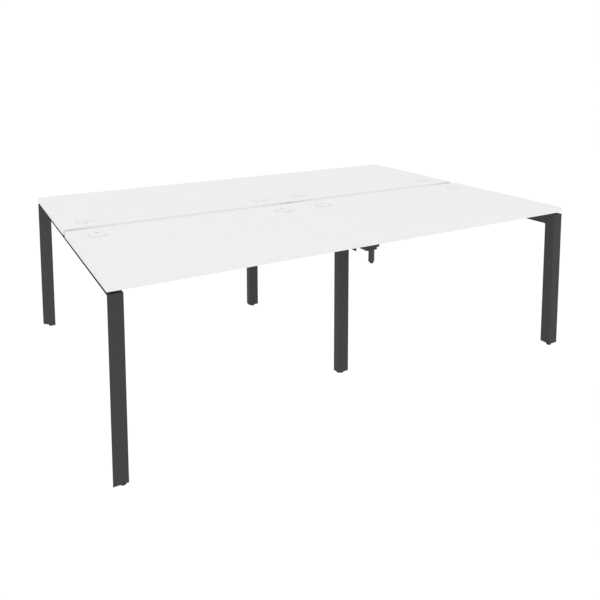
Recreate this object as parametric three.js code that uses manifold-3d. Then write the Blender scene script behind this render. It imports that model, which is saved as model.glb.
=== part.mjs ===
// Benching desk: two long worktops back to back on three steel frames.
// Millimetres. X runs along the desk, Y from front to back, Z up.
// The origin is on the floor, below the middle of the desk.
import * as THREE from 'three';
import { mergeVertices } from 'three/addons/utils/BufferGeometryUtils.js';
import Module from 'manifold-3d';

// Worktops
const TOP_LENGTH = 2360;
const TOP_DEPTH = 800;
const TOP_THICKNESS = 25;
const TOP_GAP = 40;
const WORK_HEIGHT = 750;

// Spacer strips, which leave a dark gap between frames and tops
const SPACER_HEIGHT = 10;
const SPACER_WIDTH = 24;
const SPACER_END_SETBACK = 60;
const SPACER_GAP_SETBACK = 30;

// End frames: a right-angled triangular profile, mitred at the corners
const PROFILE_WIDTH = 58;
const PROFILE_DEPTH = 58;
const PROFILE_WALL = 2.5;
const MITRE_GAP = 0.3;

// Middle frame: rectangular tubes of one width, with the legs set back from the long edges
const MIDDLE_WIDTH = 58;
const MIDDLE_LEG_DEPTH = 40;
const MIDDLE_LEG_WALL = 2.5;
const MIDDLE_LEG_SETBACK = 300;
const MIDDLE_BEAM_HEIGHT = 40;
const MIDDLE_BEAM_WALL = 3;
const MIDDLE_BEAM_SETBACK = 81;

// Side plates that tie each middle leg to the middle beam
const SIDE_PLATE_THICKNESS = 3;
const SIDE_PLATE_REACH = 58;
const SIDE_PLATE_DROP = 52;
const SIDE_PLATE_RISE = 30;

// End caps on the middle beam, each with a lip that is screwed to the worktop
const CAP_PLATE_THICKNESS = 3;
const CAP_LIP_LENGTH = 18;
const CAP_LIP_HEIGHT = 23;
const CAP_TONGUE_LENGTH = 40;
const CAP_TONGUE_CLEARANCE = 0.3;

// Long rails between the frames
const RAIL_WIDTH = 40;
const RAIL_HEIGHT = 30;
const RAIL_WALL = 2;
const RAIL_FLANGE_THICKNESS = 4;
const RAIL_FLANGE_LIP = 20;
const RAIL_FLANGE_RISE = 4;
const RAIL_FROM_GAP = 280;

// Leg plugs and levelling feet
const LEG_CLEARANCE = 10;
const PLUG_HEIGHT = 30;
const PLUG_CLEARANCE = 0.15;
const FOOT_PAD_RADIUS = 12;
const FOOT_PAD_HEIGHT = 5;
const FOOT_PAD_CHAMFER = 1.5;
const FOOT_COLLAR_RADIUS = 8;
const FOOT_COLLAR_CLEARANCE = 0.2;
const FOOT_STEM_RADIUS = 5;
const FOOT_STEM_LENGTH = 40;
const FOOT_STEM_CLEARANCE = 0.1;

// Cable ports
const PORT_END_INSET = 120;
const PORT_MIDDLE_INSET = 120;
const PORT_GAP_INSET = 120;
const PORT_HOLE_RADIUS = 40;
const PORT_LINER_CLEARANCE = 0.2;
const PORT_LINER_WALL = 5;
const PORT_LINER_DEPTH = 20;
const PORT_FLANGE_RADIUS = 45;
const PORT_FLANGE_HEIGHT = 2;
const PORT_FLANGE_CHAMFER = 1;
const PORT_REBATE_DEPTH = 0.5;
const PORT_REBATE_CLEARANCE = 0.3;
const PORT_LEDGE_WIDTH = 3;
const CAP_THICKNESS = 6;
const CAP_SIDE_CLEARANCE = 0.5;
const CAP_UNDER_CLEARANCE = 0.1;
const CAP_SLOT_WIDTH = 16;
const CAP_SLOT_DEPTH = 16;

// Facets on round pieces
const PORT_SEGMENTS = 32;
const FOOT_SEGMENTS = 24;
const SLOT_SEGMENTS = 8;

// Levels and half sizes that follow from the sizes above
const HALF_LENGTH = TOP_LENGTH / 2;
const HALF_GAP = TOP_GAP / 2;
const HALF_DEPTH = HALF_GAP + TOP_DEPTH;
const TOP_UNDERSIDE = WORK_HEIGHT - TOP_THICKNESS;
const REBATE_FLOOR = WORK_HEIGHT - PORT_REBATE_DEPTH;
const FRAME_TOP = TOP_UNDERSIDE - SPACER_HEIGHT;
const MIDDLE_BEAM_BOTTOM = FRAME_TOP - MIDDLE_BEAM_HEIGHT;
const MIDDLE_BEAM_HALF = HALF_DEPTH - MIDDLE_BEAM_SETBACK;
const RAIL_Y = HALF_GAP + RAIL_FROM_GAP;

const wasm = await Module();
wasm.setup();

const finish = {
  laminate: { color: 0xefefef, roughness: 0.55, metalness: 0 },
  steel: { color: 0x444743, roughness: 0.6, metalness: 0.2 },
  port: { color: 0xe9e9e8, roughness: 0.45, metalness: 0 },
  plug: { color: 0x1f2020, roughness: 0.7, metalness: 0 },
  foot: { color: 0x3f423e, roughness: 0.65, metalness: 0 },
  spacer: { color: 0x202121, roughness: 0.8, metalness: 0 },
};

function piece(name, geometry, look) {
  const mesh = new THREE.Mesh(geometry, new THREE.MeshStandardMaterial(finish[look]));
  mesh.name = name;
  return mesh;
}

// A closed body with shared corners, so that it can be joined to another
function closed(geometry) {
  geometry.deleteAttribute('normal');
  geometry.deleteAttribute('uv');
  return mergeVertices(geometry);
}

function toManifold(geometry) {
  const body = closed(geometry);
  const mesh = new wasm.Mesh({
    numProp: 3,
    vertProperties: new Float32Array(body.attributes.position.array),
    triVerts: new Uint32Array(body.index.array),
  });
  return new wasm.Manifold(mesh);
}

function joined(...geometries) {
  const whole = geometries.map(toManifold).reduce((sum, next) => sum.add(next));
  const mesh = whole.getMesh();
  const geometry = new THREE.BufferGeometry();
  geometry.setAttribute('position', new THREE.BufferAttribute(new Float32Array(mesh.vertProperties), 3));
  geometry.setIndex(new THREE.BufferAttribute(new Uint32Array(mesh.triVerts), 1));
  return geometry;
}

// Mirrors a body in X, Y or both, and keeps its faces pointing out
function mirrored(geometry, signX, signY) {
  const body = closed(geometry);
  body.scale(signX, signY, 1);
  if (signX * signY < 0) {
    const corners = body.index.array;
    for (let i = 0; i < corners.length; i += 3) {
      [corners[i], corners[i + 1]] = [corners[i + 1], corners[i]];
    }
  }
  return body;
}

function boxBetween(low, high) {
  const size = new THREE.Vector3().subVectors(high, low);
  const geometry = new THREE.BoxGeometry(size.x, size.y, size.z);
  return geometry.translate(low.x + size.x / 2, low.y + size.y / 2, low.z + size.z / 2);
}

function rectangle(width, height) {
  const corners = [[-1, -1], [1, -1], [1, 1], [-1, 1]];
  return corners.map(([x, y]) => new THREE.Vector2((x * width) / 2, (y * height) / 2));
}

function hollowShape(outer, inner) {
  const shape = new THREE.Shape(outer);
  shape.holes.push(new THREE.Path(inner));
  return shape;
}

function extrude(shape, depth, curveSegments = SLOT_SEGMENTS) {
  return new THREE.ExtrudeGeometry(shape, { depth, bevelEnabled: false, curveSegments });
}

function circlePoints(centre, radius, segments) {
  const points = [];
  for (let i = 0; i < segments; i += 1) {
    const angle = (2 * Math.PI * i) / segments;
    const spoke = new THREE.Vector2(Math.sin(angle), Math.cos(angle));
    points.push(spoke.multiplyScalar(radius).add(centre));
  }
  return points;
}

// The triangular profile: x runs inwards from the desk's end, y inwards from the frame's outer face.
// Its offsets shrink it towards the centre of its inscribed circle.
const profileCorners = [
  new THREE.Vector2(0, 0),
  new THREE.Vector2(PROFILE_WIDTH, 0),
  new THREE.Vector2(PROFILE_WIDTH, PROFILE_DEPTH),
];
const profileInradius = (PROFILE_WIDTH + PROFILE_DEPTH - Math.hypot(PROFILE_WIDTH, PROFILE_DEPTH)) / 2;
const profileCentre = new THREE.Vector2(PROFILE_WIDTH - profileInradius, profileInradius);

function profileOffset(distance) {
  const share = (profileInradius - distance) / profileInradius;
  return profileCorners.map((corner) => profileCentre.clone().lerp(corner, share));
}

// A length of the hollow profile. place(x, y, atFarEnd) gives each corner's position,
// so that the ends can be mitred.
function profileTube(place) {
  const geometry = closed(extrude(hollowShape(profileCorners, profileOffset(PROFILE_WALL)), 1));
  const corners = geometry.attributes.position;
  for (let i = 0; i < corners.count; i += 1) {
    const spot = place(corners.getX(i), corners.getY(i), corners.getZ(i) > 0);
    corners.setXYZ(i, spot.x, spot.y, spot.z);
  }
  return geometry;
}

// Left front end leg: it stands on the floor side and is mitred at the top
function endLeg() {
  return profileTube((x, y, atTop) => new THREE.Vector3(
    x - HALF_LENGTH,
    y - HALF_DEPTH,
    atTop ? FRAME_TOP - y - MITRE_GAP : LEG_CLEARANCE,
  ));
}

// Left end beam: its flat face is up and both ends are mitred to the legs
function endBeam() {
  return profileTube((x, y, atBack) => new THREE.Vector3(
    x - HALF_LENGTH,
    (atBack ? 1 : -1) * (HALF_DEPTH - y - MITRE_GAP),
    FRAME_TOP - y,
  ));
}

// A leg plug, upright, with the thread for the foot's stem
function plug(outline, centre) {
  const bore = circlePoints(centre, FOOT_STEM_RADIUS + FOOT_STEM_CLEARANCE, FOOT_SEGMENTS);
  return extrude(hollowShape(outline, bore), PLUG_HEIGHT).translate(0, 0, LEG_CLEARANCE);
}

function endLegPlug() {
  const outline = profileOffset(PROFILE_WALL + PLUG_CLEARANCE);
  return plug(outline, profileCentre).translate(-HALF_LENGTH, -HALF_DEPTH, 0);
}

function middleLegPlug() {
  const trim = 2 * (MIDDLE_LEG_WALL + PLUG_CLEARANCE);
  const outline = rectangle(MIDDLE_WIDTH - trim, MIDDLE_LEG_DEPTH - trim);
  return plug(outline, new THREE.Vector2(0, 0)).translate(0, -middleLegY(), 0);
}

// A levelling foot: pad, collar that stops against the leg's end, and threaded stem
function levellingFoot() {
  const stop = LEG_CLEARANCE - FOOT_COLLAR_CLEARANCE;
  const stemTop = LEG_CLEARANCE + FOOT_STEM_LENGTH;
  const outline = [
    new THREE.Vector2(0, 0),
    new THREE.Vector2(FOOT_PAD_RADIUS - FOOT_PAD_CHAMFER, 0),
    new THREE.Vector2(FOOT_PAD_RADIUS, FOOT_PAD_CHAMFER),
    new THREE.Vector2(FOOT_PAD_RADIUS, FOOT_PAD_HEIGHT),
    new THREE.Vector2(FOOT_COLLAR_RADIUS, FOOT_PAD_HEIGHT),
    new THREE.Vector2(FOOT_COLLAR_RADIUS, stop),
    new THREE.Vector2(FOOT_STEM_RADIUS, stop),
    new THREE.Vector2(FOOT_STEM_RADIUS, stemTop),
    new THREE.Vector2(0, stemTop),
  ];
  return new THREE.LatheGeometry(outline, FOOT_SEGMENTS).rotateX(Math.PI / 2);
}

function middleLegY() {
  return HALF_DEPTH - MIDDLE_LEG_SETBACK - MIDDLE_LEG_DEPTH / 2;
}

// Front middle leg: a tube that ends against the underside of the middle beam
function middleLeg() {
  const outer = rectangle(MIDDLE_WIDTH, MIDDLE_LEG_DEPTH);
  const inner = rectangle(MIDDLE_WIDTH - 2 * MIDDLE_LEG_WALL, MIDDLE_LEG_DEPTH - 2 * MIDDLE_LEG_WALL);
  const tube = extrude(hollowShape(outer, inner), MIDDLE_BEAM_BOTTOM - LEG_CLEARANCE);
  return tube.translate(0, -middleLegY(), LEG_CLEARANCE);
}

// Left side plate of the front middle leg, bolted to the leg and to the beam above it
function sidePlate() {
  const reach = MIDDLE_LEG_DEPTH / 2 + SIDE_PLATE_REACH;
  const inside = -MIDDLE_WIDTH / 2;
  const bottom = MIDDLE_BEAM_BOTTOM - SIDE_PLATE_DROP;
  const top = MIDDLE_BEAM_BOTTOM + SIDE_PLATE_RISE;
  return boxBetween(
    new THREE.Vector3(inside - SIDE_PLATE_THICKNESS, -middleLegY() - reach, bottom),
    new THREE.Vector3(inside, -middleLegY() + reach, top),
  );
}

// The middle beam runs from front to back
function middleBeam() {
  const outer = rectangle(MIDDLE_WIDTH, MIDDLE_BEAM_HEIGHT);
  const inner = rectangle(MIDDLE_WIDTH - 2 * MIDDLE_BEAM_WALL, MIDDLE_BEAM_HEIGHT - 2 * MIDDLE_BEAM_WALL);
  const tube = extrude(hollowShape(outer, inner), 2 * MIDDLE_BEAM_HALF);
  return tube.rotateX(Math.PI / 2).translate(0, MIDDLE_BEAM_HALF, FRAME_TOP - MIDDLE_BEAM_HEIGHT / 2);
}

// Front end cap of the middle beam: a plate, a lip in front of it and a tongue inside the beam
function beamEndCap() {
  const wall = MIDDLE_BEAM_WALL + CAP_TONGUE_CLEARANCE;
  const half = MIDDLE_WIDTH / 2;
  const plateFront = -MIDDLE_BEAM_HALF - CAP_PLATE_THICKNESS;
  const plate = boxBetween(
    new THREE.Vector3(-half, plateFront, MIDDLE_BEAM_BOTTOM),
    new THREE.Vector3(half, -MIDDLE_BEAM_HALF, FRAME_TOP),
  );
  const lip = boxBetween(
    new THREE.Vector3(-half, plateFront - CAP_LIP_LENGTH, FRAME_TOP - CAP_LIP_HEIGHT),
    new THREE.Vector3(half, plateFront, FRAME_TOP),
  );
  const tongue = boxBetween(
    new THREE.Vector3(wall - half, -MIDDLE_BEAM_HALF, MIDDLE_BEAM_BOTTOM + wall),
    new THREE.Vector3(half - wall, CAP_TONGUE_LENGTH - MIDDLE_BEAM_HALF, FRAME_TOP - wall),
  );
  return joined(plate, lip, tongue);
}

// Front left rail, from the middle beam to the left end beam, with a welded flange on each end
function rail() {
  const outer = rectangle(RAIL_HEIGHT, RAIL_WIDTH);
  const inner = rectangle(RAIL_HEIGHT - 2 * RAIL_WALL, RAIL_WIDTH - 2 * RAIL_WALL);
  const edge = rectangle(RAIL_HEIGHT + 2 * RAIL_FLANGE_RISE, RAIL_WIDTH + 2 * RAIL_FLANGE_LIP);
  const start = MIDDLE_WIDTH / 2;
  const end = HALF_LENGTH - PROFILE_WIDTH;
  const length = end - start;
  const flange = () => extrude(hollowShape(edge, inner), RAIL_FLANGE_THICKNESS);
  const farFlange = flange().translate(0, 0, length - RAIL_FLANGE_THICKNESS);
  const whole = joined(extrude(hollowShape(outer, inner), length), flange(), farFlange);
  whole.rotateY(-Math.PI / 2);
  return whole.translate(-start, -RAIL_Y, FRAME_TOP - MIDDLE_BEAM_HEIGHT / 2);
}

function portSpots() {
  const far = HALF_LENGTH - PORT_END_INSET;
  const near = PORT_MIDDLE_INSET;
  return [['far_left', -far], ['near_left', -near], ['near_right', near], ['far_right', far]];
}

// A layer of a worktop, with its row of round holes for the cable ports
function worktopLayer(side, holeRadius, bottom, top) {
  const shape = new THREE.Shape(rectangle(TOP_LENGTH, TOP_DEPTH));
  const holeY = side * (PORT_GAP_INSET - TOP_DEPTH / 2);
  for (const [, x] of portSpots()) {
    const centre = new THREE.Vector2(x, holeY);
    shape.holes.push(new THREE.Path(circlePoints(centre, holeRadius, PORT_SEGMENTS)));
  }
  return extrude(shape, top - bottom).translate(0, side * (HALF_GAP + TOP_DEPTH / 2), bottom);
}

// One worktop, with a shallow rebate round each hole, in which the port's flange lies
function worktop(side) {
  const rebateRadius = PORT_FLANGE_RADIUS + PORT_REBATE_CLEARANCE;
  return joined(
    worktopLayer(side, PORT_HOLE_RADIUS, TOP_UNDERSIDE, REBATE_FLOOR),
    worktopLayer(side, rebateRadius, REBATE_FLOOR, WORK_HEIGHT),
  );
}

const linerRadius = PORT_HOLE_RADIUS - PORT_LINER_CLEARANCE;
const seatRadius = linerRadius - PORT_LINER_WALL;
const portTop = WORK_HEIGHT + PORT_FLANGE_HEIGHT;
const ledgeTop = portTop - CAP_THICKNESS - CAP_UNDER_CLEARANCE;

// A cable-port ring: a liner in the hole, a flange in the rebate and a ledge that the cap lies on
function portRing() {
  const linerBottom = WORK_HEIGHT - PORT_LINER_DEPTH;
  const outline = [
    new THREE.Vector2(seatRadius - PORT_LEDGE_WIDTH, linerBottom),
    new THREE.Vector2(linerRadius, linerBottom),
    new THREE.Vector2(linerRadius, REBATE_FLOOR),
    new THREE.Vector2(PORT_FLANGE_RADIUS, REBATE_FLOOR),
    new THREE.Vector2(PORT_FLANGE_RADIUS, portTop - PORT_FLANGE_CHAMFER),
    new THREE.Vector2(PORT_FLANGE_RADIUS - PORT_FLANGE_CHAMFER, portTop),
    new THREE.Vector2(seatRadius, portTop),
    new THREE.Vector2(seatRadius, ledgeTop),
    new THREE.Vector2(seatRadius - PORT_LEDGE_WIDTH, ledgeTop),
    new THREE.Vector2(seatRadius - PORT_LEDGE_WIDTH, linerBottom),
  ];
  return new THREE.LatheGeometry(outline, PORT_SEGMENTS).rotateX(Math.PI / 2);
}

// A cable-port cap: a disc with a round-ended cable slot in its rim, on the side of the gap
function portCap(side) {
  const radius = seatRadius - CAP_SIDE_CLEARANCE;
  const halfSlot = CAP_SLOT_WIDTH / 2;
  const rim = Math.asin(halfSlot / radius);
  const slotCentre = radius - CAP_SLOT_DEPTH + halfSlot;
  const shape = new THREE.Shape();
  shape.absarc(0, 0, radius, rim, 2 * Math.PI - rim, false);
  shape.lineTo(slotCentre, -halfSlot);
  shape.absarc(slotCentre, 0, halfSlot, -Math.PI / 2, Math.PI / 2, true);
  const disc = extrude(shape, CAP_THICKNESS, PORT_SEGMENTS / 2);
  return disc.rotateZ((-side * Math.PI) / 2).translate(0, 0, portTop - CAP_THICKNESS);
}

// A spacer strip from the front or back edge to the gap, on a beam at the given x
function spacer(x, side) {
  const length = TOP_DEPTH - SPACER_END_SETBACK - SPACER_GAP_SETBACK;
  const middleY = HALF_GAP + SPACER_GAP_SETBACK + length / 2;
  const strip = new THREE.BoxGeometry(SPACER_WIDTH, length, SPACER_HEIGHT);
  return strip.translate(x, side * middleY, FRAME_TOP + SPACER_HEIGHT / 2);
}

const LEFT_RIGHT = [['left', 1], ['right', -1]];
const FRONT_BACK = [['front', 1], ['back', -1]];

// Left or right end frame, made as the left front one and mirrored
function endFrame(end, signX) {
  const frame = new THREE.Group();
  const spacerX = -signX * (HALF_LENGTH - PROFILE_WIDTH / 2);
  frame.add(piece(`${end}_end_beam`, mirrored(endBeam(), signX, 1), 'steel'));
  for (const [side, signY] of FRONT_BACK) {
    frame.add(piece(`${end}_${side}_leg`, mirrored(endLeg(), signX, signY), 'steel'));
    frame.add(piece(`${end}_${side}_leg_plug`, mirrored(endLegPlug(), signX, signY), 'plug'));
    frame.add(piece(`${end}_${side}_spacer`, spacer(spacerX, -signY), 'spacer'));
    const foot = piece(`${end}_${side}_foot`, levellingFoot(), 'foot');
    const footX = profileCentre.x - HALF_LENGTH;
    const footY = profileCentre.y - HALF_DEPTH;
    foot.position.set(signX * footX, signY * footY, 0);
    frame.add(foot);
  }
  return frame;
}

function middleFrame() {
  const frame = new THREE.Group();
  frame.add(piece('middle_beam', middleBeam(), 'steel'));
  for (const [side, signY] of FRONT_BACK) {
    frame.add(piece(`middle_${side}_leg`, mirrored(middleLeg(), 1, signY), 'steel'));
    frame.add(piece(`middle_${side}_leg_plug`, mirrored(middleLegPlug(), 1, signY), 'plug'));
    frame.add(piece(`middle_${side}_beam_cap`, mirrored(beamEndCap(), 1, signY), 'steel'));
    for (const [end, signX] of LEFT_RIGHT) {
      frame.add(piece(`middle_${side}_${end}_side_plate`, mirrored(sidePlate(), signX, signY), 'steel'));
    }
    frame.add(piece(`middle_${side}_spacer`, spacer(0, -signY), 'spacer'));
    const foot = piece(`middle_${side}_foot`, levellingFoot(), 'foot');
    foot.position.set(0, -signY * middleLegY(), 0);
    frame.add(foot);
  }
  return frame;
}

function rails() {
  const group = new THREE.Group();
  for (const [end, signX] of LEFT_RIGHT) {
    for (const [side, signY] of FRONT_BACK) {
      group.add(piece(`${end}_${side}_rail`, mirrored(rail(), signX, signY), 'steel'));
    }
  }
  return group;
}

// The front or back worktop with its cable ports
function workSide(side, signY) {
  const group = new THREE.Group();
  group.add(piece(`${side}_worktop`, worktop(-signY), 'laminate'));
  for (const [spot, x] of portSpots()) {
    const port = new THREE.Group();
    port.position.set(x, -signY * (HALF_GAP + PORT_GAP_INSET), 0);
    port.add(piece(`${side}_${spot}_port_ring`, portRing(), 'port'));
    port.add(piece(`${side}_${spot}_port_cap`, portCap(-signY), 'port'));
    group.add(port);
  }
  return group;
}

const desk = new THREE.Group();
desk.name = 'benching_desk';
for (const [end, signX] of LEFT_RIGHT) {
  desk.add(endFrame(end, signX));
}
desk.add(middleFrame());
desk.add(rails());
for (const [side, signY] of FRONT_BACK) {
  desk.add(workSide(side, signY));
}

export default desk;
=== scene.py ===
# Benching desk: two white worktops back to back on three anthracite steel frames.
# Metres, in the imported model's frame: X along the desk, Y from front to back, Z up.
import math

import bmesh
import bpy
from mathutils import Matrix, Vector


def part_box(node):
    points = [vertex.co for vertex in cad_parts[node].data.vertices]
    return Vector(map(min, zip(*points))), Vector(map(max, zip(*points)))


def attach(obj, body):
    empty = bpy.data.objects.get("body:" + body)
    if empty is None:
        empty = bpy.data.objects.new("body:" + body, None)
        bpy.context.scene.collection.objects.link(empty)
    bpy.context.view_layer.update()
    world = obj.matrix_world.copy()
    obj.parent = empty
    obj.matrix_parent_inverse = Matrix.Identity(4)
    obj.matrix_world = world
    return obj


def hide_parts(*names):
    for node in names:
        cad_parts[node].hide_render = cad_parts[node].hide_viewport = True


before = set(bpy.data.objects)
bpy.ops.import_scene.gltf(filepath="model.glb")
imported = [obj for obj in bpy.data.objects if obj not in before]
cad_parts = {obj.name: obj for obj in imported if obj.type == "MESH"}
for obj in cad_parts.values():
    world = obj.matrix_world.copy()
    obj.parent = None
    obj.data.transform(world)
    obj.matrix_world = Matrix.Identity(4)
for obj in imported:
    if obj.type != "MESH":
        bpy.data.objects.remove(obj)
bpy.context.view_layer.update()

MM = 0.001
FRAME_BODY = "desk_frame"
LEFT_RIGHT = (("left", 1), ("right", -1))
FRONT_BACK = (("front", 1), ("back", -1))
PORT_SPOTS = ("far_left", "near_left", "near_right", "far_right")
SQUARE = ((-1, -1), (1, -1), (1, 1), (-1, 1))

# Mesh fineness
SMOOTH_ANGLE = math.radians(33)
ARC_STEPS = 5
ROUND_SEGMENTS = 96
BOLT_SEGMENTS = 24
SMALLEST_RADIUS = 0.05 * MM
# Points this far from a rounded edge keep the flat face beside it flat
SUPPORT = 0.25 * MM

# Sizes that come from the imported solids
top_low, top_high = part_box("back_worktop")
HALF_LENGTH = top_high.x
HALF_DEPTH = top_high.y
HALF_GAP = top_low.y
TOP_UNDERSIDE = top_low.z
WORK_HEIGHT = top_high.z
beam_low, beam_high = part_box("middle_beam")
FRAME_TOP = beam_high.z
LEG_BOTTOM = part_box("middle_front_leg")[0].z
profile_low, profile_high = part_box("left_front_leg")
PROFILE_WIDTH = profile_high.x - profile_low.x
PROFILE_DEPTH = profile_high.y - profile_low.y

# Worktops: a board with a plastic edge band all round
EDGE_BAND = 2.0 * MM
EDGE_BAND_RADIUS = 1.2 * MM
BOARD_CORNER_RADIUS = 2.6 * MM
BOARD_JOINT = 0.12 * MM

# Cable ports
PORT_LINER_RADIUS = 39.8 * MM
PORT_SEAT_RADIUS = 34.8 * MM
PORT_LEDGE_WIDTH = 3 * MM
PORT_HOLE_RADIUS = 40 * MM
PORT_REBATE_RADIUS = 45.3 * MM
PORT_REBATE_DEPTH = 0.5 * MM
PORT_EDGE = 0.6 * MM
PORT_LIP_RADIUS = 0.5 * MM
PORT_LIP_STEPS = 3
PORT_SHADOW_GAP = 0.3 * MM
PORT_CAP_CLEARANCE = 0.1 * MM
PORT_CAP_BEVEL = 0.8 * MM
PORT_SLOT_WIDTH = 16 * MM
PORT_SLOT_DEPTH = 16 * MM
PORT_SLOT_STEPS = 24

# End frames of a triangular profile
PROFILE_WALL = 2.5 * MM
PROFILE_CORNER_RADIUS = 0.6 * MM
PROFILE_INNER_RADIUS = 0.5 * MM
MITRE_GAP = 0.3 * MM

# The middle frame and the rails
TUBE_CORNER_RADIUS = 1.8 * MM
TUBE_INNER_RADIUS = 0.6 * MM
TUBE_END_CHAMFER = 0.3 * MM
LEG_WALL = 2.5 * MM
BEAM_WALL = 3 * MM
CAP_PLATE = 3 * MM
CAP_LIP_HEIGHT = 23 * MM
CAP_CORNER_RADIUS = 2 * MM
CAP_PLATE_BEVEL = 0.4 * MM
CAP_LIP_BEVEL = 0.6 * MM
SIDE_PLATE_CORNER_RADIUS = 2.5 * MM
SIDE_PLATE_BEVEL = 0.5 * MM
RAIL_WIDTH = 40 * MM
RAIL_HEIGHT = 30 * MM
RAIL_WALL = 2 * MM
RAIL_CORNER_RADIUS = 2 * MM
RAIL_FLANGE = 4 * MM
RAIL_FLANGE_CORNER_RADIUS = 3 * MM
RAIL_FLANGE_BEVEL = 0.5 * MM
WELD_LEG = 2.5 * MM
WELD_HOLLOW = 0.45
WELD_DEPTH = 0.1 * MM
SPACER_BEVEL = 0.6 * MM

# Fasteners. A head's form is in shares of its radius and height
BOLT_FORM = ((0.94, 0.0), (1.0, 0.08), (1.0, 0.3), (0.9, 0.66), (0.72, 0.9), (0.58, 1.0))
BOLT_SOCKET = 0.42
BOLT_SOCKET_FLOOR = 0.35
LIP_SCREW_RADIUS = 5 * MM
LIP_SCREW_HEIGHT = 2.8 * MM
LIP_SCREW_X = 16 * MM
PLATE_BOLT_RADIUS = 7 * MM
PLATE_BOLT_HEIGHT = 4 * MM
# Along the beam from the leg's middle, and up from the beam's underside
PLATE_BOLT_PLACES = ((-45 * MM, 15 * MM), (45 * MM, 15 * MM), (0, -14 * MM), (0, -38 * MM))
RAIL_BOLT_RADIUS = 5.5 * MM
RAIL_BOLT_HEIGHT = 3.3 * MM
RAIL_BOLT_INSET = 10 * MM

# Caps over the screws that hold the worktops to the beams
SCREW_CAP_FORM = ((1.0, 0.0), (1.0, 0.3), (0.93, 0.65), (0.75, 0.88), (0.4, 1.0))
SCREW_CAP_RADIUS = 6 * MM
SCREW_CAP_HEIGHT = 1.2 * MM
SCREW_PLACES = (150 * MM, 400 * MM, 650 * MM)
SCREW_DROP = 22 * MM

# Leg plugs and levelling feet
PLUG_CLEARANCE = 0.15 * MM
PLUG_CORNER_RADIUS = 0.6 * MM
PLUG_BEVEL = 0.8 * MM
STEM_RADIUS = 5 * MM
STEM_CLEARANCE = 0.1 * MM
SHANK_RADIUS = 4.7 * MM
STEM_TIP_RADIUS = 3.8 * MM
STEM_TIP_HEIGHT = 1 * MM
THREAD_PITCH = 1.5 * MM
THREAD_DEPTH = 0.8 * MM
THREAD_LENGTH = 21 * MM
THREAD_RUN_OUT = 0.5 * MM
THREAD_RINGS_PER_TURN = 6
PAD_RADIUS = 12 * MM
PAD_HEIGHT = 5 * MM
# Insets from the pad's rim, with heights above the floor or below the pad's top
PAD_SOLE = ((2.2 * MM, 0.0), (1.5 * MM, 0.05 * MM))
PAD_LOWER_RIM = ((0.6 * MM, 0.8 * MM), (0.0, 1.6 * MM))
PAD_UPPER_RIM = ((0.0, 0.8 * MM), (0.4 * MM, 0.2 * MM))
PAD_TOP_INSET = 1.2 * MM
PAD_FLUTES = 36
PAD_STEPS_PER_FLUTE = 4
PAD_FLUTE_DEPTH = 0.35 * MM
NUT_RADIUS = 8 * MM
NUT_FILLET_WIDTH = 0.6 * MM
NUT_FILLET_HEIGHT = 0.3 * MM
NUT_BEVEL_HEIGHT = 0.5 * MM
NUT_TOP_RADIUS = 7.2 * MM
NUT_BORE_RADIUS = 4 * MM
NUT_CLEARANCE = 0.2 * MM

# Stage. The floor lies just below the feet at full travel
FLOOR_LEVEL = -15.5 * MM
FLOOR_HALF = 30.0
LIGHT_FROM = (-1, -1, 1)
LIGHT_SLOPE = 0.25
LIGHT_LEVEL = 0.93
BACKGROUND_LEVEL = 1.02
CAMERA_PLACE = Vector((-1.6567, -2.9851, 1.5121))
CAMERA_YAW = 0.52481
CAMERA_PITCH = 0.10344
CAMERA_NEAR = 0.05
CAMERA_FAR = 100
FOCAL_PIXELS = 636.19
FRAME_PIXELS = 600
CENTRE_PIXEL = (302.40, 128.0)
SENSOR_WIDTH = 36.0

# Linear colours
WHITE = (0.862, 0.862, 0.862)
ANTHRACITE = (0.0425, 0.0465, 0.0425)
PORT_WHITE = (0.85, 0.85, 0.848)
PLUG_BLACK = (0.016, 0.016, 0.016)
FOOT_GREY = (0.036, 0.039, 0.035)
STRIP_BLACK = (0.018, 0.018, 0.018)
BLACK_OXIDE = (0.055, 0.056, 0.055)
ZINC = (0.62, 0.62, 0.6)
CHIP_DARK = (0.26, 0.20, 0.14)
CHIP_PALE = (0.50, 0.42, 0.32)
FIBRE_DARK = (0.14, 0.11, 0.08)
# A colour Mix node shares its sockets' names with its other kinds, so they go by number
MIX_FIRST = 6
MIX_SECOND = 7
MIX_RESULT = 2


# Mesh building


def inset_corners(corners, distance):
    """Moves each side of a convex polygon inwards by the distance."""
    moved = []
    for i, corner in enumerate(corners):
        back = (corners[i - 1] - corner).normalized()
        ahead = (corners[(i + 1) % len(corners)] - corner).normalized()
        half = back.angle(ahead) / 2
        moved.append(corner + (back + ahead).normalized() * (distance / math.sin(half)))
    return moved


def rounded(corners, radius):
    """A convex polygon's outline with an arc at each corner, and a point just off each end of the arc."""
    points = []
    for i, corner in enumerate(corners):
        back = (corners[i - 1] - corner).normalized()
        ahead = (corners[(i + 1) % len(corners)] - corner).normalized()
        half = back.angle(ahead) / 2
        centre = corner + (back + ahead).normalized() * (radius / math.sin(half))
        start = corner + back * (radius / math.tan(half)) - centre
        end = corner + ahead * (radius / math.tan(half)) - centre
        turn = math.atan2(start.x * end.y - start.y * end.x, start.dot(end))
        points.append(centre + start + back * SUPPORT)
        for step in range(ARC_STEPS + 1):
            points.append(centre + Matrix.Rotation(turn * step / ARC_STEPS, 2) @ start)
        points.append(centre + end + ahead * SUPPORT)
    return points


def polygon(corners, radius):
    """A function that gives the rounded outline at any inset, which may be negative."""

    def outline(inset=0.0):
        return rounded(inset_corners(corners, inset), max(radius - inset, SMALLEST_RADIUS))

    return outline


def rectangle(width, height, radius):
    return polygon([Vector((x * width / 2, y * height / 2)) for x, y in SQUARE], radius)


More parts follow.
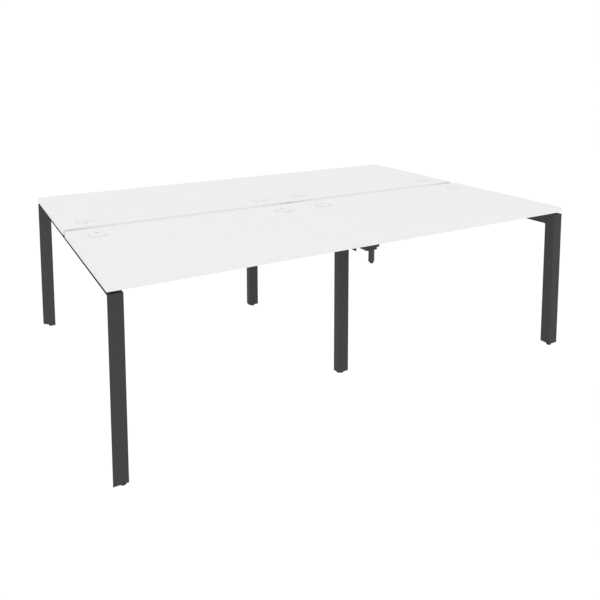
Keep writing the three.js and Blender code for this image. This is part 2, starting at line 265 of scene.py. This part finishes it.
def circle(radius, count=ROUND_SEGMENTS):
    """A circle's points. The radius is a number, or a function of the angle."""
    points = []
    for i in range(count):
        angle = math.tau * i / count
        reach = radius(angle) if callable(radius) else radius
        points.append(Vector((reach * math.cos(angle), reach * math.sin(angle))))
    return points


def hexagon(flat):
    """A hexagon's reach as a function of the angle, from the distance of its flat sides."""
    return lambda angle: flat / math.cos(math.fmod(angle, math.pi / 3) - math.pi / 6)


def quarter(centre_u, centre_v, radius, start, steps=ARC_STEPS):
    """Points of a quarter circle in a section, turning left from the start angle in degrees."""
    points = []
    for step in range(steps + 1):
        angle = math.radians(start + 90 * step / steps)
        points.append((centre_u + radius * math.cos(angle), centre_v + radius * math.sin(angle)))
    return points


def rounded_edges(depth, radius):
    """The (inset, height) points of a flat piece's rounded lower edge and rounded upper edge."""
    low = [(radius - u, radius + v) for u, v in quarter(0, 0, radius, 270)]
    high = [(radius - u, depth - radius + v) for u, v in quarter(0, 0, radius, 0)]
    return low, high


class Shape:
    """A mesh in the making, of one or more closed bodies."""

    def __init__(self):
        self.bm = bmesh.new()

    def skin(self, rings, closed=False, look=0):
        """Faces between rings of points. Returns the rings' vertices."""
        loops = [[self.bm.verts.new(point) for point in ring] for ring in rings]
        pairs = list(zip(loops, loops[1:]))
        if closed:
            pairs.append((loops[-1], loops[0]))
        for low, high in pairs:
            for i in range(len(low)):
                j = (i + 1) % len(low)
                face = self.bm.faces.new((low[i], low[j], high[j], high[i]))
                face.material_index = look
        return loops

    def cap(self, *loops):
        """Fills a flat face inside the first loop and outside the others."""
        if len(loops) == 1:
            self.bm.faces.new(loops[0])
            return
        edges = []
        for loop in loops:
            for i, vertex in enumerate(loop):
                edges.append(self.bm.edges.get((vertex, loop[i - 1])))
        bmesh.ops.triangle_fill(self.bm, use_beauty=True, edges=edges)

    def slab(self, outline, depth, bevel, place, holes=()):
        """A flat piece with rounded edges. place(u, v, w) sets a point, with w through its depth.
        Each hole is a list of rings of placed points, from w = 0 to w = depth."""
        low, high = rounded_edges(depth, bevel)
        section = [(bevel + SUPPORT, 0), *low, *high, (bevel + SUPPORT, depth)]
        rings = [[place(p.x, p.y, w) for p in outline(inset)] for inset, w in section]
        loops = self.skin(rings)
        walls = [self.skin(rings, look=1) for rings in holes]
        self.cap(loops[0], *[wall[0] for wall in walls])
        self.cap(loops[-1], *[wall[-1] for wall in walls])

    def lathe(self, section, centre, count=ROUND_SEGMENTS, closed=False):
        """Turns a section of (radius, height) about a vertical axis. An open section gets flat ends."""
        rings = []
        for radius, height in section:
            rings.append([centre + Vector((p.x, p.y, height)) for p in circle(radius, count)])
        loops = self.skin(rings, closed)
        if not closed:
            self.cap(loops[0])
            self.cap(loops[-1])

    def tube(self, outer, inner, place):
        """A hollow bar. place(u, v, far, back) sets a point at one end, set back from it by a distance."""
        trim = TUBE_END_CHAMFER
        near = [place(p.x, p.y, False, trim) for p in outer(0)]
        near_edge = [place(p.x, p.y, False, 0) for p in outer(trim)]
        far = [place(p.x, p.y, True, trim) for p in outer(0)]
        far_edge = [place(p.x, p.y, True, 0) for p in outer(trim)]
        far_inside = [place(p.x, p.y, True, 0) for p in inner(0)]
        near_inside = [place(p.x, p.y, False, 0) for p in inner(0)]
        self.skin([near_edge, near, far, far_edge, far_inside, near_inside], closed=True)

    def head(self, form, seat, axis, radius, height, socket=()):
        """A round head on a face at the seat, pointing along the axis.
        The socket gives its hexagon's top and floor, as shares of the height."""
        turn = axis.to_track_quat("Z", "Y").to_matrix()
        outlines = [(reach * radius, rise) for reach, rise in form]
        outlines += [(hexagon(BOLT_SOCKET * radius), rise) for rise in socket]
        rings = []
        for outline, rise in outlines:
            points = circle(outline, BOLT_SEGMENTS)
            rings.append([seat + turn @ Vector((p.x, p.y, rise * height)) for p in points])
        loops = self.skin(rings)
        self.cap(loops[0])
        self.cap(loops[-1])

    def bolt(self, seat, axis, radius, height):
        """A button-head bolt with a hexagon socket."""
        self.head(BOLT_FORM, seat, axis, radius, height, (1.0, BOLT_SOCKET_FLOOR))

    def screw_cap(self, seat, axis):
        """A low plastic cap over a screw hole."""
        self.head(SCREW_CAP_FORM, seat, axis, SCREW_CAP_RADIUS, SCREW_CAP_HEIGHT)


def piece(name, shape, looks, body=FRAME_BODY, replaces=None):
    bmesh.ops.recalc_face_normals(shape.bm, faces=shape.bm.faces)
    mesh = bpy.data.meshes.new(name)
    shape.bm.to_mesh(mesh)
    shape.bm.free()
    mesh.shade_smooth()
    mesh.set_sharp_from_angle(angle=SMOOTH_ANGLE)
    for look in looks:
        mesh.materials.append(look)
    obj = bpy.data.objects.new(name, mesh)
    bpy.context.scene.collection.objects.link(obj)
    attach(obj, body)
    if replaces:
        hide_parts(replaces)


def steel_piece(name, shape, replaces):
    piece(name, shape, [steel_look], replaces=replaces)


# Materials


class Finish:
    """A material whose colour, roughness and bump vary with textures measured in metres."""

    def __init__(self, name, metallic=0.0, specular=0.5):
        self.material = bpy.data.materials.new(name)
        self.material.use_nodes = True
        self.nodes = self.material.node_tree.nodes
        self.links = self.material.node_tree.links
        self.shader = self.nodes["Principled BSDF"]
        self.shader.inputs["Metallic"].default_value = metallic
        self.shader.inputs["Specular IOR Level"].default_value = specular
        self.place = self.nodes.new("ShaderNodeTexCoord").outputs["Object"]

    def noise(self, size, detail=2.0, stretch=(1, 1, 1)):
        """Noise with grains of the given size."""
        mapping = self.nodes.new("ShaderNodeMapping")
        mapping.inputs["Scale"].default_value = stretch
        self.links.new(self.place, mapping.inputs["Vector"])
        texture = self.nodes.new("ShaderNodeTexNoise")
        texture.inputs["Scale"].default_value = 1 / size
        texture.inputs["Detail"].default_value = detail
        self.links.new(mapping.outputs["Vector"], texture.inputs["Vector"])
        return texture.outputs["Fac"]

    def cells(self, size):
        """Random grey values in cells of the given size."""
        texture = self.nodes.new("ShaderNodeTexVoronoi")
        texture.inputs["Scale"].default_value = 1 / size
        self.links.new(self.place, texture.inputs["Vector"])
        split = self.nodes.new("ShaderNodeSeparateColor")
        self.links.new(texture.outputs["Color"], split.inputs["Color"])
        return split.outputs["Red"]

    def ranged(self, value, low=0.0, high=1.0, start=0.3, end=0.7):
        """The value, stretched from between start and end to between low and high."""
        node = self.nodes.new("ShaderNodeMapRange")
        node.inputs["From Min"].default_value = start
        node.inputs["From Max"].default_value = end
        node.inputs["To Min"].default_value = low
        node.inputs["To Max"].default_value = high
        self.links.new(value, node.inputs["Value"])
        return node.outputs["Result"]

    def blended(self, factor, first, second):
        """A colour between two, each a colour or another node's output."""
        node = self.nodes.new("ShaderNodeMix")
        node.data_type = "RGBA"
        self.links.new(factor, node.inputs["Factor"])
        for socket, colour in ((MIX_FIRST, first), (MIX_SECOND, second)):
            if isinstance(colour, bpy.types.NodeSocket):
                self.links.new(colour, node.inputs[socket])
            else:
                node.inputs[socket].default_value = (*colour, 1)
        return node.outputs[MIX_RESULT]

    def varied(self, value, colour, dark, light):
        """The colour, darkened to lightened by the given factors."""
        return self.blended(self.ranged(value), shade(colour, dark), shade(colour, light))

    def colour(self, output):
        self.links.new(output, self.shader.inputs["Base Color"])

    def roughness(self, value, low, high):
        self.links.new(self.ranged(value, low, high), self.shader.inputs["Roughness"])

    def bump(self, value, strength, depth):
        node = self.nodes.new("ShaderNodeBump")
        node.inputs["Strength"].default_value = strength
        node.inputs["Distance"].default_value = depth
        self.links.new(value, node.inputs["Height"])
        normal = self.shader.inputs["Normal"]
        if normal.is_linked:
            self.links.new(normal.links[0].from_socket, node.inputs["Normal"])
        self.links.new(node.outputs["Normal"], normal)


def shade(colour, factor):
    return tuple(part * factor for part in colour)


def laminate(name, colour, roughness):
    """Melamine-faced board: an even white with a fine pearl grain."""
    look = Finish(name, specular=0.25)
    grain = look.noise(size=0.55 * MM, detail=3)
    tint = look.varied(look.noise(size=180 * MM), colour, dark=0.995, light=1.004)
    look.colour(look.blended(look.ranged(grain), shade(colour, factor=0.985), tint))
    look.roughness(look.noise(size=2.5 * MM), low=roughness - 0.05, high=roughness + 0.05)
    look.bump(grain, strength=0.12, depth=0.06 * MM)
    return look.material


def powder_coat(name, colour):
    """Powder coat: orange peel, a fine sand-like speckle and slightly uneven gloss."""
    look = Finish(name, specular=0.2)
    peel = look.noise(size=1.6 * MM, detail=1)
    sand = look.noise(size=0.45 * MM)
    dull = look.varied(sand, colour, dark=0.9, light=1.08)
    glint = look.ranged(look.cells(size=0.35 * MM), low=0, high=0.5, start=0.9, end=1.0)
    look.colour(look.blended(glint, dull, shade(colour, factor=1.45)))
    look.roughness(look.noise(size=3 * MM), low=0.55, high=0.6)
    look.bump(peel, strength=0.15, depth=0.1 * MM)
    look.bump(sand, strength=0.3, depth=0.06 * MM)
    return look.material


def moulded(name, colour, roughness, grain):
    """Moulded plastic with a fine eroded texture."""
    look = Finish(name, specular=0.35)
    texture = look.noise(size=grain)
    flow = look.noise(size=25 * MM, stretch=(1, 1, 0.3))
    soft = look.varied(flow, colour, dark=0.985, light=1.01)
    look.colour(look.blended(look.ranged(texture), shade(colour, factor=0.975), soft))
    look.roughness(texture, low=roughness - 0.06, high=roughness + 0.06)
    look.bump(texture, strength=0.15, depth=0.04 * MM)
    return look.material


def rubber_strip(name, colour):
    """Extruded rubber: dull, with fine draw lines along the strip."""
    look = Finish(name, specular=0.2)
    lines = look.noise(size=0.6 * MM, stretch=(1, 0.02, 1))
    bloom = look.noise(size=12 * MM)
    look.colour(look.varied(bloom, colour, dark=0.9, light=1.25))
    look.roughness(bloom, low=0.75, high=0.9)
    look.bump(lines, strength=0.3, depth=0.08 * MM)
    return look.material


def plated_steel(name, colour, roughness):
    """Plated steel: metallic, with slight stains and fine scratches."""
    look = Finish(name, metallic=1.0)
    scratch = look.noise(size=0.3 * MM, stretch=(1, 1, 0.08))
    look.colour(look.varied(look.noise(size=5 * MM), colour, dark=0.85, light=1.08))
    look.roughness(scratch, low=roughness - 0.08, high=roughness + 0.1)
    look.bump(scratch, strength=0.1, depth=0.03 * MM)
    return look.material


def chipboard(name):
    """The raw core that shows in the bored holes."""
    look = Finish(name, specular=0.15)
    chips = look.ranged(look.cells(size=1.8 * MM), start=0, end=1)
    fibre = look.noise(size=0.5 * MM, detail=3)
    wood = look.blended(chips, CHIP_DARK, CHIP_PALE)
    look.colour(look.blended(look.ranged(fibre, high=0.6), wood, FIBRE_DARK))
    look.roughness(fibre, low=0.8, high=0.95)
    look.bump(fibre, strength=0.6, depth=0.3 * MM)
    return look.material


board_look = laminate("white_laminate", WHITE, roughness=0.5)
band_look = moulded("white_edge_band", shade(WHITE, factor=0.992), roughness=0.4, grain=0.9 * MM)
core_look = chipboard("raw_chipboard")
steel_look = powder_coat("anthracite_powder_coat", ANTHRACITE)
port_look = moulded("white_port_plastic", PORT_WHITE, roughness=0.4, grain=0.5 * MM)
plug_look = moulded("black_plug_plastic", PLUG_BLACK, roughness=0.55, grain=0.6 * MM)
foot_look = moulded("anthracite_foot_plastic", FOOT_GREY, roughness=0.5, grain=0.6 * MM)
strip_look = rubber_strip("black_spacer_strip", STRIP_BLACK)
bolt_look = plated_steel("black_oxide_steel", BLACK_OXIDE, roughness=0.42)
zinc_look = plated_steel("zinc_plated_steel", ZINC, roughness=0.34)


# Worktops and cable ports


def axis_of(node):
    """The point on the floor below a node's middle."""
    low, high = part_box(node)
    return Vector(((low.x + high.x) / 2, (low.y + high.y) / 2, 0))


def port_hole(centre):
    """Rings of a bored hole with a rebate for the port's flange, from the board's underside up."""
    floor = WORK_HEIGHT - PORT_REBATE_DEPTH
    bore = [(PORT_HOLE_RADIUS, TOP_UNDERSIDE), (PORT_HOLE_RADIUS, floor)]
    bore += [(PORT_REBATE_RADIUS, floor), (PORT_REBATE_RADIUS, WORK_HEIGHT)]
    return [[centre + Vector((p.x, p.y, z)) for p in circle(radius)] for radius, z in bore]


def worktop(side, sign):
    """The board with its bored holes, and the edge band round it."""
    corners = [(-1, HALF_GAP), (1, HALF_GAP), (1, HALF_DEPTH), (-1, HALF_DEPTH)]
    plan = polygon([Vector((x * HALF_LENGTH, y)) for x, y in corners], BOARD_CORNER_RADIUS)
    thickness = WORK_HEIGHT - TOP_UNDERSIDE

    def place(u, v, w):
        return Vector((u, -sign * v, TOP_UNDERSIDE + w))

    def board_plan(inset):
        return plan(EDGE_BAND + inset)

    holes = [port_hole(axis_of(f"{side}_{spot}_port_ring")) for spot in PORT_SPOTS]
    board = Shape()
    board.slab(board_plan, thickness, BOARD_JOINT, place, holes)
    looks = [board_look, core_look]
    piece(f"{side}_worktop_board", board, looks, replaces=f"{side}_worktop")

    inner = EDGE_BAND - BOARD_JOINT
    radius = EDGE_BAND_RADIUS
    low, high = rounded_edges(thickness, radius)
    section = [(EDGE_BAND, BOARD_JOINT), (inner, 0), (radius + SUPPORT, 0), *low]
    section += [(0, radius + SUPPORT), (0, thickness - radius - SUPPORT), *high]
    section += [(radius + SUPPORT, thickness), (inner, thickness), (EDGE_BAND, thickness - BOARD_JOINT)]
    band = Shape()
    band.skin([[place(p.x, p.y, w) for p in plan(inset)] for inset, w in section], closed=True)
    piece(f"{side}_worktop_edge_band", band, [band_look])


def port_ring(side, spot):
    node = f"{side}_{spot}_port_ring"
    low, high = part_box(node)
    floor = WORK_HEIGHT - PORT_REBATE_DEPTH
    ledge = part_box(f"{side}_{spot}_port_cap")[0].z - PORT_CAP_CLEARANCE
    inside = PORT_SEAT_RADIUS - PORT_LEDGE_WIDTH
    trim = PORT_EDGE
    rim = (high.z - floor) / 2
    rim_centre = (high.x - low.x) / 2 - PORT_SHADOW_GAP - rim
    lip = PORT_LIP_RADIUS
    section = [(PORT_LINER_RADIUS - trim, low.z), (PORT_LINER_RADIUS, low.z + trim)]
    section += [(PORT_LINER_RADIUS, floor), (rim_centre - SUPPORT, floor)]
    section += quarter(rim_centre, floor + rim, rim, 270)
    section += quarter(rim_centre, floor + rim, rim, 0)[1:]
    section += [(rim_centre - SUPPORT, high.z), (PORT_SEAT_RADIUS + lip + SUPPORT, high.z)]
    section += quarter(PORT_SEAT_RADIUS + lip, high.z - lip, lip, 90, PORT_LIP_STEPS)
    section += [(PORT_SEAT_RADIUS, ledge), (inside + trim, ledge), (inside, ledge - trim)]
    section += [(inside, low.z + trim), (inside + trim, low.z)]
    ring = Shape()
    ring.lathe(section, axis_of(node), closed=True)
    piece(f"{node}_moulding", ring, [port_look], replaces=node)


def port_cap(side, spot, sign):
    """A disc with a slot in its edge for cables."""
    node = f"{side}_{spot}_port_cap"
    low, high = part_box(node)
    radius = (high.x - low.x) / 2
    half = PORT_SLOT_WIDTH / 2
    slot_centre = radius - PORT_SLOT_DEPTH + half
    centre = axis_of(f"{side}_{spot}_port_ring")

    def outline(inset):
        reach = radius - inset
        width = half + inset
        rim = math.asin(width / reach)
        points = []
        for i in range(ROUND_SEGMENTS + 1):
            angle = rim + (math.tau - 2 * rim) * i / ROUND_SEGMENTS
            points.append(Vector((reach * math.cos(angle), reach * math.sin(angle))))
        for i in range(PORT_SLOT_STEPS + 1):
            angle = -math.pi / 2 - math.pi * i / PORT_SLOT_STEPS
            points.append(Vector((slot_centre + width * math.cos(angle), width * math.sin(angle))))
        return points

    def place(u, v, w):
        return centre + Vector((v, sign * u, low.z + w))

    cap = Shape()
    cap.slab(outline, high.z - low.z, PORT_CAP_BEVEL, place)
    piece(f"{node}_disc", cap, [port_look], node, node)


for side, sign in FRONT_BACK:
    worktop(side, sign)
    for spot in PORT_SPOTS:
        port_ring(side, spot)
        port_cap(side, spot, sign)


# Leg plugs and levelling feet


def plug(where, side, outline, plan):
    """A plug in the leg's end, bored for the stem. plan(u, v) sets a point of its outline."""
    node = f"{where}_{side}_leg_plug"
    low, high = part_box(node)
    centre = axis_of(f"{where}_{side}_foot")
    bore = circle(STEM_RADIUS + STEM_CLEARANCE, BOLT_SEGMENTS)
    hole = [[centre + Vector((p.x, p.y, z)) for p in bore] for z in (low.z, high.z)]

    def place(u, v, w):
        return plan(u, v) + Vector((0, 0, low.z + w))

    body = Shape()
    body.slab(outline, high.z - low.z, PLUG_BEVEL, place, [hole])
    looks = [plug_look, plug_look]
    piece(f"{node}_moulding", body, looks, replaces=node)


def fluted(reach):
    """A pad's reach as a function of the angle, with flutes in its rim."""
    return lambda angle: reach - PAD_FLUTE_DEPTH * (0.5 - 0.5 * math.cos(PAD_FLUTES * angle))


def threaded(height):
    """The stem's reach at a height, as a function of the angle."""

    def reach(angle):
        turn = (height / THREAD_PITCH - angle / math.tau) % 1.0
        return STEM_RADIUS - THREAD_DEPTH * abs(2 * turn - 1)

    return reach


def foot(where, side):
    """A fluted plastic pad with a hexagon above it, on a threaded stem."""
    node = f"{where}_{side}_foot"
    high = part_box(node)[1]
    centre = axis_of(node)
    collar = LEG_BOTTOM - NUT_CLEARANCE
    nut = hexagon(NUT_RADIUS * math.cos(math.pi / 6))

    section = [(PAD_RADIUS - inset, z) for inset, z in PAD_SOLE]
    section += [(fluted(PAD_RADIUS - inset), z) for inset, z in PAD_LOWER_RIM]
    section += [(fluted(PAD_RADIUS - inset), PAD_HEIGHT - drop) for inset, drop in PAD_UPPER_RIM]
    section += [(PAD_RADIUS - PAD_TOP_INSET, PAD_HEIGHT), (NUT_RADIUS + NUT_FILLET_WIDTH, PAD_HEIGHT)]
    section += [(nut, PAD_HEIGHT + NUT_FILLET_HEIGHT), (nut, collar - NUT_BEVEL_HEIGHT)]
    section += [(NUT_TOP_RADIUS, collar), (NUT_BORE_RADIUS, collar)]
    base = Shape()
    base.lathe(section, centre, PAD_FLUTES * PAD_STEPS_PER_FLUTE)
    piece(f"{node}_pad", base, [foot_look], node, node)

    steps = round(THREAD_LENGTH / THREAD_PITCH * THREAD_RINGS_PER_TURN)
    levels = [collar + THREAD_LENGTH * step / steps for step in range(steps + 1)]
    section = [(threaded(z), z) for z in levels]
    section += [(SHANK_RADIUS, collar + THREAD_LENGTH + THREAD_RUN_OUT)]
    section += [(SHANK_RADIUS, high.z - STEM_TIP_HEIGHT), (STEM_TIP_RADIUS, high.z)]
    stem = Shape()
    stem.lathe(section, centre, BOLT_SEGMENTS)
    piece(f"{node}_stem", stem, [zinc_look], node)


def block(shape, low, high, radius, bevel):
    """A solid from front to back with rounded edges, between two corners."""
    centre = (low + high) / 2
    outline = rectangle(high.x - low.x, high.z - low.z, radius)

    def place(u, v, w):
        return Vector((centre.x + u, low.y + w, centre.z + v))

    shape.slab(outline, high.y - low.y, bevel, place)


def spacer(where, side):
    node = f"{where}_{side}_spacer"
    low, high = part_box(node)
    strip = Shape()
    block(strip, low, high, SPACER_BEVEL, SPACER_BEVEL)
    piece(f"{node}_strip", strip, [strip_look], replaces=node)


# End frames of a triangular profile, mitred at the corners

profile_corners = [Vector((0, 0)), Vector((PROFILE_WIDTH, 0)), Vector((PROFILE_WIDTH, PROFILE_DEPTH))]
profile_outer = polygon(profile_corners, PROFILE_CORNER_RADIUS)
profile_inner = polygon(inset_corners(profile_corners, PROFILE_WALL), PROFILE_INNER_RADIUS)
plug_corners = inset_corners(profile_corners, PROFILE_WALL + PLUG_CLEARANCE)
profile_plug = polygon(plug_corners, PLUG_CORNER_RADIUS)


def end_leg(end, side, sign_x, sign_y):
    def plan(u, v):
        return Vector((sign_x * (u - HALF_LENGTH), sign_y * (v - HALF_DEPTH), 0))

    def place(u, v, far, back):
        z = FRAME_TOP - v - MITRE_GAP - back if far else LEG_BOTTOM + back
        return plan(u, v) + Vector((0, 0, z))

    leg = Shape()
    leg.tube(profile_outer, profile_inner, place)
    node = f"{end}_{side}_leg"
    steel_piece(f"{node}_profile", leg, node)
    plug(end, side, profile_plug, plan)


def end_beam(end, sign_x):
    def place(u, v, far, back):
        y = HALF_DEPTH - v - MITRE_GAP - back
        return Vector((sign_x * (u - HALF_LENGTH), y if far else -y, FRAME_TOP - v))

    beam = Shape()
    beam.tube(profile_outer, profile_inner, place)
    node = f"{end}_end_beam"
    steel_piece(f"{node}_profile", beam, node)


for end, sign_x in LEFT_RIGHT:
    end_beam(end, sign_x)
    for side, sign_y in FRONT_BACK:
        end_leg(end, side, sign_x, sign_y)
        foot(end, side)
        spacer(end, side)


# The middle frame of rectangular tube


def tube_outlines(width, height, radius, wall):
    """A rectangular tube's outer and inner outline."""
    outer = rectangle(width, height, radius)
    inner = rectangle(width - 2 * wall, height - 2 * wall, TUBE_INNER_RADIUS)
    return outer, inner


def middle_leg(side):
    node = f"middle_{side}_leg"
    low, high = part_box(node)
    width = high.x - low.x
    depth = high.y - low.y
    middle_x = (low.x + high.x) / 2
    middle_y = (low.y + high.y) / 2

    def plan(u, v):
        return Vector((middle_x + u, middle_y + v, 0))

    def place(u, v, far, back):
        return plan(u, v) + Vector((0, 0, high.z - back if far else low.z + back))

    leg = Shape()
    leg.tube(*tube_outlines(width, depth, TUBE_CORNER_RADIUS, LEG_WALL), place)
    steel_piece(f"{node}_tube", leg, node)
    room = 2 * (LEG_WALL + PLUG_CLEARANCE)
    plug("middle", side, rectangle(width - room, depth - room, PLUG_CORNER_RADIUS), plan)


def middle_beam():
    width = beam_high.x - beam_low.x
    height = beam_high.z - beam_low.z
    centre = (beam_low + beam_high) / 2

    def place(u, v, far, back):
        y = beam_high.y - back if far else beam_low.y + back
        return Vector((centre.x + u, y, centre.z + v))

    beam = Shape()
    beam.tube(*tube_outlines(width, height, TUBE_CORNER_RADIUS, BEAM_WALL), place)
    steel_piece("middle_beam_tube", beam, "middle_beam")


def beam_cap(side, sign):
    """The plate on the beam's end and the lip in front of it. Returns the middle of the lip's underside."""
    node = f"middle_{side}_beam_cap"
    low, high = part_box(node)
    beam_end = beam_low.y if sign > 0 else beam_high.y
    plate_face = beam_end - sign * CAP_PLATE
    lip_face = low.y if sign > 0 else high.y
    lip_bottom = high.z - CAP_LIP_HEIGHT
    plate = (beam_end, plate_face, low.z, CAP_PLATE_BEVEL)
    lip = (plate_face, lip_face, lip_bottom, CAP_LIP_BEVEL)
    cap = Shape()
    for y, other_y, bottom, bevel in (plate, lip):
        near = Vector((low.x, min(y, other_y), bottom))
        far = Vector((high.x, max(y, other_y), high.z))
        block(cap, near, far, CAP_CORNER_RADIUS, bevel)
    steel_piece(f"{node}_plate", cap, node)
    return Vector((0, (plate_face + lip_face) / 2, lip_bottom))


def side_plate(side, end):
    """Returns the point of its outer face on the leg's middle, level with the beam's underside."""
    node = f"middle_{side}_{end}_side_plate"
    low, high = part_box(node)
    centre = (low + high) / 2
    outline = rectangle(high.y - low.y, high.z - low.z, SIDE_PLATE_CORNER_RADIUS)

    def place(u, v, w):
        return Vector((low.x + w, centre.y + u, centre.z + v))

    plate = Shape()
    plate.slab(outline, high.x - low.x, SIDE_PLATE_BEVEL, place)
    steel_piece(f"{node}_steel", plate, node)
    return Vector((low.x if centre.x < 0 else high.x, centre.y, beam_low.z))


lip_screws = Shape()
plate_bolts = Shape()
middle_beam()
for side, sign in FRONT_BACK:
    middle_leg(side)
    foot("middle", side)
    spacer("middle", side)
    lip = beam_cap(side, sign)
    for x in (-LIP_SCREW_X, LIP_SCREW_X):
        seat = lip + Vector((x, 0, 0))
        lip_screws.bolt(seat, Vector((0, 0, -1)), LIP_SCREW_RADIUS, LIP_SCREW_HEIGHT)
    for end, sign_x in LEFT_RIGHT:
        face = side_plate(side, end)
        for y, z in PLATE_BOLT_PLACES:
            seat = face + Vector((0, y, z))
            plate_bolts.bolt(seat, Vector((-sign_x, 0, 0)), PLATE_BOLT_RADIUS, PLATE_BOLT_HEIGHT)


# Long rails between the frames


def rail(end, side, bolts):
    """A rectangular tube with a flange welded on each end, and the bolts in its flanges."""
    node = f"{end}_{side}_rail"
    low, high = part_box(node)
    centre = (low + high) / 2
    outer, inner = tube_outlines(RAIL_WIDTH, RAIL_HEIGHT, RAIL_CORNER_RADIUS, RAIL_WALL)
    flange = rectangle(high.y - low.y, high.z - low.z, RAIL_FLANGE_CORNER_RADIUS)
    full = WELD_LEG
    bead = [(0, full), (-WELD_HOLLOW * full, (1 - WELD_HOLLOW) * full), (-full, 0), (WELD_DEPTH, 0)]

    def point(u, v, x):
        return Vector((x, centre.y + u, centre.z + v))

    def place(u, v, far, back):
        inside = RAIL_FLANGE + back
        return point(u, v, high.x - inside if far else low.x + inside)

    bar = Shape()
    bar.tube(outer, inner, place)
    for start in (low.x, high.x - RAIL_FLANGE):
        bar.slab(flange, RAIL_FLANGE, RAIL_FLANGE_BEVEL, lambda u, v, w: point(u, v, start + w))
    for face, away in ((low.x + RAIL_FLANGE, 1), (high.x - RAIL_FLANGE, -1)):
        rings = [[point(p.x, p.y, face + away * rise) for p in outer(grow)] for grow, rise in bead]
        bar.skin(rings, closed=True)
    steel_piece(f"{node}_bar", bar, node)
    for y in (low.y + RAIL_BOLT_INSET, high.y - RAIL_BOLT_INSET):
        for face, away in ((low.x + RAIL_FLANGE, 1), (high.x - RAIL_FLANGE, -1)):
            seat = Vector((face, y, centre.z))
            bolts.bolt(seat, Vector((away, 0, 0)), RAIL_BOLT_RADIUS, RAIL_BOLT_HEIGHT)


rail_bolts = Shape()
for end, sign_x in LEFT_RIGHT:
    for side, sign in FRONT_BACK:
        rail(end, side, rail_bolts)
piece("middle_lip_screws", lip_screws, [bolt_look])
piece("middle_side_plate_bolts", plate_bolts, [bolt_look])
piece("rail_flange_bolts", rail_bolts, [bolt_look])

screw_caps = Shape()
for y in SCREW_PLACES:
    for sign in (1, -1):
        screw_caps.screw_cap(Vector((0, sign * y, beam_low.z)), Vector((0, 0, -1)))
        for end, sign_x in LEFT_RIGHT:
            inner_face = sign_x * (PROFILE_WIDTH - HALF_LENGTH)
            seat = Vector((inner_face, sign * y, FRAME_TOP - SCREW_DROP))
            screw_caps.screw_cap(seat, Vector((sign_x, 0, 0)))
piece("beam_screw_caps", screw_caps, [foot_look])


# Stage: a pale floor, soft light from all round, and the photograph's camera


def floor():
    ground = Shape()
    corners = [Vector((x * FLOOR_HALF, y * FLOOR_HALF, FLOOR_LEVEL)) for x, y in SQUARE]
    ground.cap([ground.bm.verts.new(corner) for corner in corners])
    mesh = bpy.data.meshes.new("floor")
    ground.bm.to_mesh(mesh)
    ground.bm.free()
    look = bpy.data.materials.new("pale_floor")
    look.use_nodes = True
    nodes = look.node_tree.nodes
    glow = nodes.new("ShaderNodeEmission")
    glow.inputs["Color"].default_value = (1, 1, 1, 1)
    glow.inputs["Strength"].default_value = BACKGROUND_LEVEL
    look.node_tree.links.new(glow.outputs["Emission"], nodes["Material Output"].inputs["Surface"])
    mesh.materials.append(look)
    obj = bpy.data.objects.new("floor", mesh)
    bpy.context.scene.collection.objects.link(obj)
    obj.visible_diffuse = False
    obj.visible_glossy = False
    obj.visible_shadow = False


def studio_light():
    """Even light all round, a little stronger from the front left and above. The camera sees plain white."""
    world = bpy.data.worlds.new("studio")
    bpy.context.scene.world = world
    world.use_nodes = True
    nodes = world.node_tree.nodes
    links = world.node_tree.links
    along = nodes.new("ShaderNodeVectorMath")
    along.operation = "DOT_PRODUCT"
    ray, towards = along.inputs[:2]
    towards.default_value = Vector(LIGHT_FROM).normalized()
    links.new(nodes.new("ShaderNodeTexCoord").outputs["Generated"], ray)
    level = nodes.new("ShaderNodeMapRange")
    level.inputs["From Min"].default_value = -1
    level.inputs["To Min"].default_value = LIGHT_LEVEL * (1 - LIGHT_SLOPE)
    level.inputs["To Max"].default_value = LIGHT_LEVEL * (1 + LIGHT_SLOPE)
    links.new(along.outputs["Value"], level.inputs["Value"])
    sky = nodes["Background"]
    sky.inputs["Color"].default_value = (1, 1, 1, 1)
    links.new(level.outputs["Result"], sky.inputs["Strength"])
    plain = nodes.new("ShaderNodeBackground")
    plain.inputs["Color"].default_value = (1, 1, 1, 1)
    plain.inputs["Strength"].default_value = BACKGROUND_LEVEL
    seen = nodes.new("ShaderNodeMixShader")
    factor, by_light, by_camera = seen.inputs
    links.new(nodes.new("ShaderNodeLightPath").outputs["Is Camera Ray"], factor)
    links.new(sky.outputs["Background"], by_light)
    links.new(plain.outputs["Background"], by_camera)
    links.new(seen.outputs["Shader"], nodes["World Output"].inputs["Surface"])


def camera():
    ahead = Vector((math.sin(CAMERA_YAW), math.cos(CAMERA_YAW), 0)) * math.cos(CAMERA_PITCH)
    ahead.z = -math.sin(CAMERA_PITCH)
    right = Vector((math.cos(CAMERA_YAW), -math.sin(CAMERA_YAW), 0))
    up = right.cross(ahead)
    data = bpy.data.cameras.new("camera")
    data.sensor_width = SENSOR_WIDTH
    data.lens = SENSOR_WIDTH * FOCAL_PIXELS / FRAME_PIXELS
    data.shift_x = (FRAME_PIXELS / 2 - CENTRE_PIXEL[0]) / FRAME_PIXELS
    data.shift_y = (CENTRE_PIXEL[1] - FRAME_PIXELS / 2) / FRAME_PIXELS
    data.clip_start = CAMERA_NEAR
    data.clip_end = CAMERA_FAR
    obj = bpy.data.objects.new("camera", data)
    bpy.context.scene.collection.objects.link(obj)
    turn = Matrix((right, up, -ahead)).transposed().to_4x4()
    obj.matrix_world = Matrix.Translation(CAMERA_PLACE) @ turn
    bpy.context.scene.camera = obj


floor()
studio_light()
camera()
bpy.context.scene.view_settings.view_transform = "Standard"
bpy.context.scene.view_settings.look = "None"
